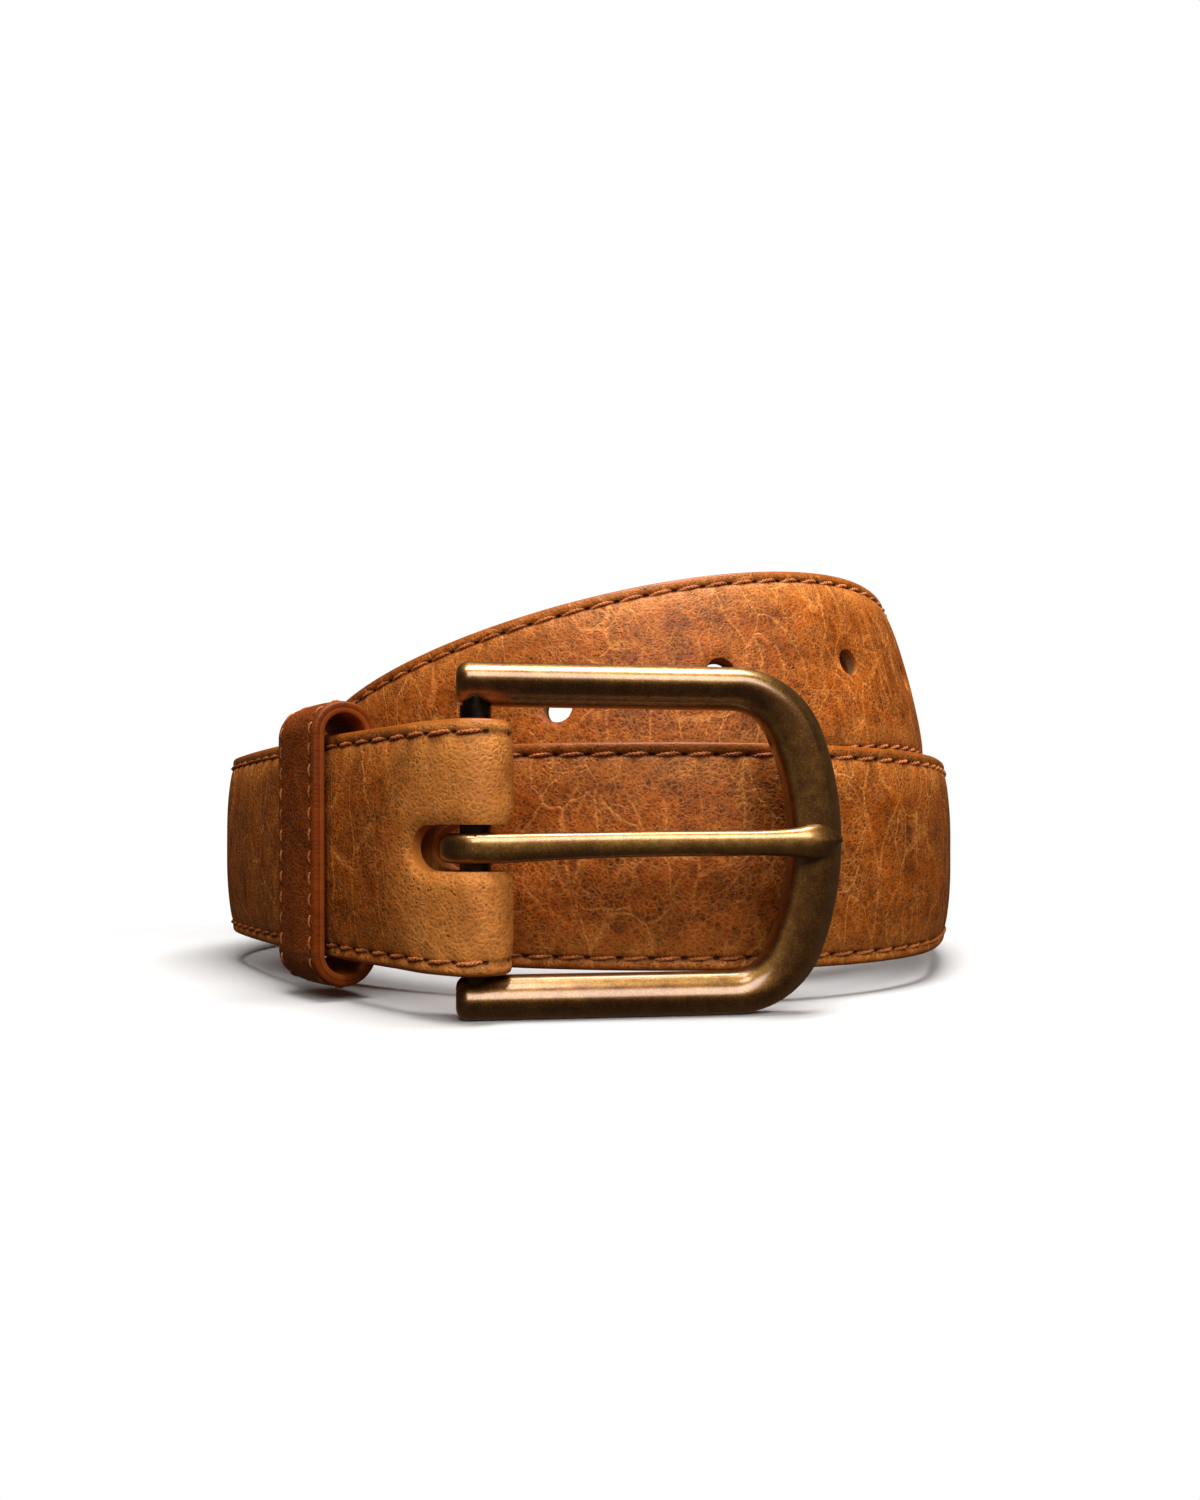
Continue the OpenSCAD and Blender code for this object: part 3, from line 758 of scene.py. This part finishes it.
def tip_seam_length():
    """Millimetres from one edge lane to the other, round the tip."""
    a = np.linspace(0, PI, 60)
    x, y = (TIP_LEN - SEAM_INSET) * np.sin(a), (HALF_W - SEAM_INSET) * np.cos(a)
    return float(np.hypot(np.diff(x), np.diff(y)).sum())


def join(name, objects):
    """One object of several."""
    work = bmesh.new()
    for obj in objects:
        work.from_mesh(obj.data)
        bpy.data.objects.remove(obj)
    mesh = bpy.data.meshes.new(name)
    work.to_mesh(mesh)
    work.free()
    mesh.polygons.foreach_set("use_smooth", np.ones(len(mesh.polygons), bool))
    made = bpy.data.objects.new(name, mesh)
    bpy.context.scene.collection.objects.link(made)
    return made


def seam(name, outer):
    """All the stitches of one thread, along both edges and round the tip: the needle's, or the bobbin's."""
    length = 4.5
    lead = (STITCH_PITCH - length) / 2
    first = math.ceil(-8 / STITCH_PITCH) if outer else math.ceil(35 / STITCH_PITCH)
    last = math.floor((STRAP_LEN - TIP_LEN) / STITCH_PITCH) - 1
    starts = np.arange(first, last + 1) * STITCH_PITCH + lead
    style = dict(length=length, slant=0.5, rise=0.2, radius=0.36, ply=2 if outer else 1)
    parts = [stitch_run("run", starts, edge_route(sign, outer), **style) for sign in (1, -1)]
    count = int(tip_seam_length() // STITCH_PITCH)
    tip_starts = (np.arange(count) + 0.5) * tip_seam_length() / count - length / 2
    parts.append(stitch_run("run", tip_starts, tip_route(outer), **style))
    return join(name, parts)


# ---------------------------------------------------------------- the keeper
def keeper_frame():
    """The keeper's middle, and its directions along the strap, outwards and up."""
    c, o, w = coil_sections([KEEPER_S])
    return c[0] + KEEPER_SHIFT * o[0] + KEEPER_LIFT * w[0], np.cross(o[0], w[0]), o[0], w[0]


def stadium_path(h, d, t):
    """Points, outward normals and distance run, at shares t of a loop with half-round ends."""
    run, r = h - d, d / 2
    total = 2 * run + 2 * PI * r
    x = (t % 1) * total
    q1, q2, q3 = run, run + PI * r, 2 * run + PI * r
    a1 = (x - q1) / r
    a2 = (x - q3) / r
    depth = np.select([x < q1, x < q2, x < q3], [r + 0 * x, r * np.cos(a1), -r + 0 * x], -r * np.cos(a2))
    up = np.select([x < q1, x < q2, x < q3],
                   [x - run / 2, run / 2 + r * np.sin(a1), run / 2 - (x - q2)], -run / 2 - r * np.sin(a2))
    nx = np.select([x < q1, x < q2, x < q3], [1 + 0 * x, np.cos(a1), -1 + 0 * x], -np.cos(a2))
    nz = np.select([x < q1, x < q2, x < q3], [0 * x, np.sin(a1), 0 * x], -np.sin(a2))
    return depth, up, nx, nz, x


def keeper_loop(name, profile, uv_edge, count=180):
    """A closed loop swept round the keeper; profile has (x along the strap, depth below the outside)."""
    middle, ahead, out, up = keeper_frame()
    t = np.arange(count) / count
    depth, high_z, nx, nz, x = stadium_path(KEEPER_H, KEEPER_D, t)
    normal = nx[:, None] * out + nz[:, None] * up
    base = middle + depth[:, None] * out + high_z[:, None] * up
    px = np.array([p[0] for p in profile])
    pd = np.array([p[1] for p in profile])
    rings = base[:, None] + px[None, :, None] * ahead - pd[None, :, None] * normal[:, None]
    n = len(profile)
    faces = tube_faces(count + 1, n) % (count * n)
    uv = np.stack([np.repeat(x[:, None], n, 1), np.repeat(px[None], count, 0)], -1).reshape(-1, 2)
    edge = np.repeat(np.array(uv_edge)[None], count, 0).ravel()
    obj = mesh_object(name, (rings.reshape(-1, 3) + HEEL) * MM, faces, uv, {"edge": edge})
    mend_normals(obj)
    obj.data.set_sharp_from_angle(angle=math.radians(60))
    return obj


def strip_profile(half, top, base, top_r, base_r, grooves=()):
    """(x along the strap, depth) round a strip's section, puffed between grooves, and its edge weights."""
    quarter = np.linspace(0, PI / 2, 6)
    xs = np.linspace(half - top_r, -half + top_r, 41)
    dips = sum(0.16 * np.exp(-((np.abs(xs) - g) / 0.35) ** 2) for g in grooves)
    tops = [(x, top + 0.22 * (x / (half - top_r)) ** 2 + d) for x, d in zip(xs, dips + 0 * xs)]
    rise = 0.22
    left = [(-half + top_r - top_r * math.sin(a), top + rise + top_r - top_r * math.cos(a))
            for a in quarter[1:]]
    left += [(-half + base_r * (1 - math.cos(a)), base - base_r + base_r * math.sin(a)) for a in quarter]
    right = [(-x, d) for x, d in left[::-1]]
    flat = [(x, base) for x in np.linspace(-half + 2 * base_r, half - 2 * base_r, 9)]
    edge = [0.0] * 41 + [1.0] * 11 + [0.0] * 9 + [1.0] * 11
    return tops + left + flat + right, edge


KEEPER_LANE = KEEPER_W / 2 - 1.5
KEEPER_PITCH = 3.3


def keeper_band_piece():
    points, edge = strip_profile(KEEPER_W / 2, 0.0, BAND_T, 0.5, 0.05, grooves=(KEEPER_LANE,))
    return keeper_loop("keeper_leather", points, edge)


def keeper_lining_piece():
    top = BAND_T + GLUE
    points, edge = strip_profile(KEEPER_W / 2, top - 0.22, top + KEEPER_LINING_T, 0.05, 0.4)
    flat = [(x, max(d, top)) for x, d in points]
    return keeper_loop("keeper_lining_leather", flat, edge)


def keeper_seam():
    middle, ahead, out, up = keeper_frame()
    total = 2 * (KEEPER_H - KEEPER_D) + PI * KEEPER_D
    count = round(total / KEEPER_PITCH)
    pitch = total / count
    length = pitch * 0.74
    parts = []
    for lane in (-KEEPER_LANE, KEEPER_LANE):
        def route(t):
            depth, high_z, nx, nz, _ = stadium_path(KEEPER_H, KEEPER_D, t / total)
            normal = nx[:, None] * out + nz[:, None] * up
            foot = middle + depth[:, None] * out + high_z[:, None] * up + lane * ahead - 0.17 * normal
            return foot, normal, np.repeat(ahead[None], len(t), 0)
        starts = np.arange(count) * pitch + (pitch - length) / 2
        parts.append(stitch_run("run", starts, route, length=length, slant=0.2, rise=0.1, radius=0.2,
                                ply=1, rings=8, sides=6))
    return join("keeper_seam", parts)


# ---------------------------------------------------------------- the buckle
def buckle_matrix():
    """From the buckle's own axes, in millimetres, to the row frame in metres."""
    turned = Matrix.Rotation(math.radians(BUCKLE_ANGLE), 4, "Z")
    moved = Matrix.Translation(Vector((HEEL[0], HEEL[1], FRAME_H / 2)) * MM)
    return moved @ turned @ Matrix.Scale(MM, 4)


BOW_R, CORNER_R, INNER_CORNER_R = 45.0, 14.1, 6.2
BOW_X = FRAME_REACH - BOW_R
BAR_END_X = -2.7


def frame_outline(t, r, outer_r, top):
    """A point on an outline of the frame: t runs 0 to 1 round the corner, 1 to 2 to the end bar's middle."""
    cx = BOW_X + math.sqrt((outer_r - r) ** 2 - (top - r) ** 2)
    angle = math.degrees(math.asin((top - r) / (outer_r - r)))
    if t <= 1:
        return np.array([cx, top - r]) + r * turn(90 + (angle - 90) * t)
    return np.array([BOW_X, 0.0]) + outer_r * turn(angle * (2 - t))


def chaikin(points, times):
    """Rounds the corners of a closed outline."""
    p = np.array(points, float)
    for _ in range(times):
        q = np.roll(p, -1, 0)
        p = np.stack([0.75 * p + 0.25 * q, 0.25 * p + 0.75 * q], 1).reshape(-1, p.shape[1])
    return p


def bar_profile(w, flatness):
    """(from the inner side, to the front, painted highlight weight) round a bar w wide; flatness 0 is round
    and 1 is faceted.
    """
    b, f = -FRAME_BACK, FRAME_FRONT
    r = w - 6.2
    # the third values paint the brass lighter on the inner ridge and the outer bevel, where highlights fall:
    # a painted highlight
    round_bar = [(1.1, b, 0.2), (0.45, b + 0.2, 0.2), (0.0, b + 1.0, 0.1), (0.0, -0.3, 0.0),
                 (0.2, 0.55, 0.1), (0.72, 1.12, 1.0), (1.1, 1.42, 0.8), (1.7, 2.02, 0.2), (2.45, 2.45, 0.1),
                 (3.2 + r / 2, f, 0.1), (4.0 + r, f - 0.05, 0.2), (4.7 + r, f - 0.32, 0.5),
                 (5.3 + r, f - 0.85, 0.6), (5.78 + r, f - 1.55, 0.6), (6.1 + r, 0.35, 0.5), (w, -0.7, 0.3),
                 (w - 0.15, b + 0.6, 0.2), (w - 1.0, b, 0.2)]
    faceted = [(0.7, b, 0.2), (0.1, b + 0.5, 0.2), (0.0, 0.0, 0.0), (0.02, 1.0, 0.0), (0.3, 1.6, 0.4),
               (0.75, 1.95, 1.0), (1.15, 2.15, 0.8), (1.8, 2.42, 0.1), (2.8, f - 0.1, 0.0),
               (w / 2 + 0.2, f, 0.0), (w - 3.0, f - 0.06, 0.1), (w - 2.35, f - 0.2, 0.9),
               (w - 1.5, f - 0.9, 0.9), (w - 0.65, f - 1.8, 0.9), (w - 0.12, 0.2, 0.7), (w, -0.6, 0.4),
               (w - 0.1, b + 0.6, 0.3), (w - 1.0, b, 0.2)]
    return chaikin(np.array(round_bar) * (1 - flatness) + np.array(faceted) * flatness, 2)


def frame_piece():
    """The buckle's three-sided frame: two side bars with rounded ends and the bowed end bar."""
    top, side = FRAME_H / 2, SIDE_BAR_W
    end_r = 1.7
    pairs = []
    for x in (0.0, 0.1, 0.3, 0.6, 1.0, 1.4, 1.7):
        shrink = end_r - math.sqrt(end_r ** 2 - (end_r - x) ** 2)
        pairs.append((np.array([BAR_END_X + x, top - side]), np.array([BAR_END_X + x, top]), shrink, 0.0))
    corner_x = frame_outline(0, CORNER_R, BOW_R, top)[0]
    for x in np.linspace(BAR_END_X + 3, corner_x - 1.5, 14):
        pairs.append((np.array([x, top - side]), np.array([x, top]), 0.0, 0.0))
    for t in np.concatenate([np.linspace(0, 1, 26), np.linspace(1, 2, 15)[1:]]):
        pairs.append((frame_outline(t, INNER_CORNER_R, BOW_R - END_BAR_W, top - side),
                      frame_outline(t, CORNER_R, BOW_R, top), 0.0, float(ease(t * 1.1))))
    rings, painted_highlight = [], []
    mirrored = [(i * (1, -1), o * (1, -1), k, flat) for i, o, k, flat in pairs[-2::-1]]
    for inner, outer, shrink, flatness in pairs + mirrored:
        w = np.linalg.norm(outer - inner)
        d = (outer - inner) / w
        profile = bar_profile(w, flatness)
        hub = np.array([w / 2, 0.0])
        offset = profile[:, :2] - hub
        reach = np.linalg.norm(offset, axis=1, keepdims=True)
        offset = offset * np.maximum(0.2, 1 - shrink / np.maximum(reach, 1))
        local = hub + offset
        flat = inner + local[:, :1] * d
        rings.append(np.column_stack([flat[:, 0], -local[:, 1], flat[:, 1]]))
        painted_highlight.append(profile[:, 2])
    rings = np.array(rings)
    # the painted highlight weights go to the brass material as a point attribute
    obj = loft("buckle_frame_brass", rings, None, {"painted_highlight": np.array(painted_highlight).ravel()}, smooth_angle=50)
    obj.data.transform(buckle_matrix())
    return obj


def prong_piece():
    """The prong's shaft, flat behind and rounded in front, with a leaf-shaped tip, joined to its eye."""
    z0 = SLOT_Z - FRAME_H / 2
    rest = FRAME_FRONT + 0.05
    # distance from the heel bar, middle height, half width, back, front, and how sharp its ridge is
    keys = np.array([
        [0.0, z0, 2.08, 2.6, EYE_R, 0.0], [3.0, z0, 2.08, 2.5, EYE_R, 0.0],
        [6.0, z0 + 0.1, 2.04, 2.4, 5.0, 0.0], [10.0, z0 + 0.25, 1.96, 2.45, 5.0, 0.0],
        [16.0, z0 + 0.42, 1.86, 2.6, 5.2, 0.0], [24.0, z0 + 0.6, 1.82, 2.7, 5.5, 0.0],
        [34.0, -0.32, 1.84, rest, 5.7, 0.0], [42.0, -0.25, 1.9, rest, 5.75, 0.05],
        [45.0, -0.22, 2.12, rest, 5.8, 0.2], [47.0, -0.15, 2.38, rest, 5.75, 0.5],
        [48.4, -0.08, 2.38, rest, 5.5, 0.8], [50.0, 0.0, 1.8, rest, 4.9, 1.0],
        [51.3, 0.08, 0.95, rest, 4.1, 1.0], [PRONG_REACH, 0.1, 0.35, rest, 3.5, 1.0]])
    x = np.concatenate([np.arange(0, 43, 1.0), np.arange(43, PRONG_REACH, 0.3), [PRONG_REACH]])
    z, half, back, front, ridge = [smooth_keys(x, keys[:, 0], keys[:, i]) for i in range(1, 6)]
    a = np.linspace(0, 2 * PI, 36, endpoint=False)
    rings = []
    for i in range(len(x)):
        power = 2.6 - 1.35 * ridge[i]
        cy = back[i] + (front[i] - back[i]) * 0.42
        co, si = np.cos(a), np.sin(a)
        side = np.sign(co) * np.abs(co) ** (2 / power) * half[i]
        up = np.sign(si) * np.abs(si) ** (2 / power)
        flat_back = cy + np.sign(si) * np.abs(si) ** 0.5 * (cy - back[i])
        y = np.where(si > 0, cy + up * (front[i] - cy), flat_back)
        rings.append(np.column_stack([np.full(len(a), x[i]), -y, z[i] + side]))
    shaft = loft("prong_brass", np.array(rings))
    eye_profile = rounded_box_profile(BORE_R, EYE_R, EYE_H / 2, 1.5)
    turns = np.linspace(0, 2 * PI, 72, endpoint=False)
    grid = np.array([[(r * math.cos(b), r * math.sin(b), z0 + h) for r, h in eye_profile] for b in turns])
    n = len(eye_profile)
    eye = mesh_object("eye", grid.reshape(-1, 3), tube_faces(73, n) % (72 * n))
    mend_normals(eye)
    bar = loft("bar", np.array([[(BORE_R * math.cos(b), BORE_R * math.sin(b), h) for b in turns]
                                for h in (-9.0, 9.0)]))
    cut(shaft, [eye], "UNION", 45)
    cut(shaft, [bar], "DIFFERENCE", 45)
    co = np.zeros(len(shaft.data.vertices) * 3)
    shaft.data.vertices.foreach_get("co", co)
    co = co.reshape(-1, 3)
    # painted highlight: the front of the prong is weighted to be painted lighter
    front_share = np.clip((-co[:, 1] - 3.6) / 2.0, 0, 1)
    painted_highlight = shaft.data.attributes.new("painted_highlight", "FLOAT", "POINT")
    painted_highlight.data.foreach_set("value", front_share.astype(np.float32))
    shaft.data.transform(buckle_matrix())
    return shaft


def smooth_keys(x, keys, values):
    """Values between keys with level tangents blended in, so that the shaft has no kinks."""
    slopes = np.gradient(values, keys)
    i = np.clip(np.searchsorted(keys, x, "right") - 1, 0, len(keys) - 2)
    h = keys[i + 1] - keys[i]
    t = (x - keys[i]) / h
    a, b = values[i], values[i + 1]
    return ((1 + 2 * t) * (1 - t) ** 2 * a + t * (1 - t) ** 2 * h * slopes[i]
            + t * t * (3 - 2 * t) * b + t * t * (t - 1) * h * slopes[i + 1])


def rounded_box_profile(inner, outer, half, r):
    """A closed outline of (radius, height) points with round outer corners."""
    points = [(inner, -half)]
    quarter = np.linspace(0, PI / 2, 7)
    points += [(outer - r + r * math.sin(a), -half + r - r * math.cos(a)) for a in quarter]
    points += [(outer - r + r * math.cos(a), half - r + r * math.sin(a)) for a in quarter]
    points.append((inner, half))
    return points


# ---------------------------------------------------------------- camera, floor and lights
def camera():
    data = bpy.data.cameras.new("camera")
    data.sensor_width = 36.0
    data.lens = 25.2
    data.shift_y = 0.0567
    data.clip_start = 0.01
    obj = bpy.data.objects.new("camera", data)
    bpy.context.scene.collection.objects.link(obj)
    obj.location = (Vector(HEEL) + Vector((17.3, -146.0, 25.8))) * MM
    obj.rotation_euler = (PI / 2, 0, 0)
    bpy.context.scene.camera = obj


def area_light(name, place_m, target_m, size, power):
    data = bpy.data.lights.new(name, "AREA")
    data.shape = "RECTANGLE"
    data.size, data.size_y = size
    data.energy = power
    obj = bpy.data.objects.new(name, data)
    bpy.context.scene.collection.objects.link(obj)
    obj.location = place_m
    obj.rotation_euler = (Vector(target_m) - Vector(place_m)).to_track_quat("-Z", "Y").to_euler()
    return obj


def floor_material():
    """White paper that fades out, well away from the object, into the white behind it."""
    sh = Shader("floor")
    at = sh.node("ShaderNodeTexCoord").outputs["Object"]
    sh.set(Base_Color=(0.68, 0.68, 0.68), Roughness=1.0, Specular_IOR_Level=0.0,
           Normal=sh.bump(sh.noise(at, 900.0)[0], 0.01, 0.1))
    reach = sh.tree.nodes.new("ShaderNodeVectorMath")
    reach.operation = "LENGTH"
    sh.feed(reach.inputs[0], at)
    clear = sh.tree.nodes.new("ShaderNodeBsdfTransparent")
    mixed = sh.tree.nodes.new("ShaderNodeMixShader")
    sh.feed(mixed.inputs[0], sh.step(reach.outputs[1], 0.1, 0.15))
    sh.feed(mixed.inputs[1], sh.bsdf.outputs[0])
    sh.feed(mixed.inputs[2], clear.outputs[0])
    sh.feed(sh.tree.nodes["Material Output"].inputs[0], mixed.outputs[0])
    return sh.material


def studio():
    """A pale floor, soft lights from above and in front, and a world that the camera sees as white."""
    bpy.ops.mesh.primitive_plane_add(size=4, location=(0, 0, 0))
    floor = bpy.context.object
    floor.name = "floor"
    floor.data.materials.append(floor_material())
    floor.visible_diffuse = False
    floor.visible_glossy = False
    world = bpy.data.worlds.new("studio")
    bpy.context.scene.world = world
    world.use_nodes = True
    nodes, links = world.node_tree.nodes, world.node_tree.links
    seen = nodes.new("ShaderNodeLightPath")
    tint = nodes.new("ShaderNodeMix")
    tint.data_type = "RGBA"
    tint.inputs[6].default_value = (0.1, 0.07, 0.045, 1)
    tint.inputs[7].default_value = (1, 1, 1, 1)
    links.new(seen.outputs["Is Camera Ray"], tint.inputs[0])
    links.new(tint.outputs[2], nodes["Background"].inputs["Color"])
    aim = (0, -0.06, 0.03)
    area_light("key", (0.03, -0.09, 0.56), aim, (0.46, 0.2), 4.8)
    area_light("fill", (0.14, -0.56, 0.42), aim, (0.5, 0.35), 3.4)
    front = area_light("front", (0.2, -1.0, 0.25), aim, (0.8, 0.5), 0.6)
    front.visible_glossy = False
    bpy.context.scene.view_settings.view_transform = "Standard"
    bpy.context.scene.view_settings.look = "None"
    bpy.context.scene.view_settings.gamma = 0.88


# ---------------------------------------------------------------- the belt
def give(obj, material, body, slot, *nodes):
    """Gives a piece its material and its body, and hides the CAD nodes that it stands for; slot is not used.
    """
    obj.data.materials.clear()
    obj.data.materials.append(material)
    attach(obj, body)
    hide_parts(*nodes)


def belt():
    tan = leather("strap_leather", srgb(96, 42, 2), srgb(186, 96, 20), srgb(240, 164, 86), seam=True)
    inside = leather("lining_leather", srgb(112, 52, 10), srgb(164, 86, 28), srgb(202, 126, 62),
                     vein=0.3, pebble=0.6, rough=0.55)
    keeper_tan = leather("keeper_leather", srgb(86, 34, 4), srgb(148, 70, 14), srgb(210, 126, 54),
                         vein=0.25, pebble=1.6, rough=0.5)
    seam_thread = thread_material("seam_thread", srgb(140, 74, 26), srgb(212, 134, 72))
    fine_thread = thread_material("keeper_thread", srgb(122, 66, 26), srgb(204, 132, 72))
    brass = brass_material()
    steel = steel_material()
    give(outer_leather(), tan, "strap", "strap_leather", "strap_outer")
    give(lining_piece(), inside, "strap", "lining_leather", "strap_lining")
    give(filler_piece(), board_material(), "strap", "filler_board", "strap_filler")
    give(seam("needle_stitches", True), seam_thread, "strap", "seam_thread", "needle_thread")
    give(seam("bobbin_stitches", False), seam_thread, "strap", "seam_thread", "bobbin_thread")
    give(frame_piece(), brass, "buckle", "antique_brass", "buckle_frame")
    give(prong_piece(), brass, "prong", "antique_brass", "prong")
    give(keeper_band_piece(), keeper_tan, "keeper", "keeper_leather", "keeper_band")
    give(keeper_lining_piece(), inside, "keeper", "lining_leather", "keeper_lining")
    give(keeper_seam(), fine_thread, "keeper", "keeper_thread", "keeper_stitching")
    for name in ("heel_bar", "keeper_staple"):
        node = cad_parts[name]
        node.data.materials.clear()
        node.data.materials.append(steel)


camera()
studio()
belt()
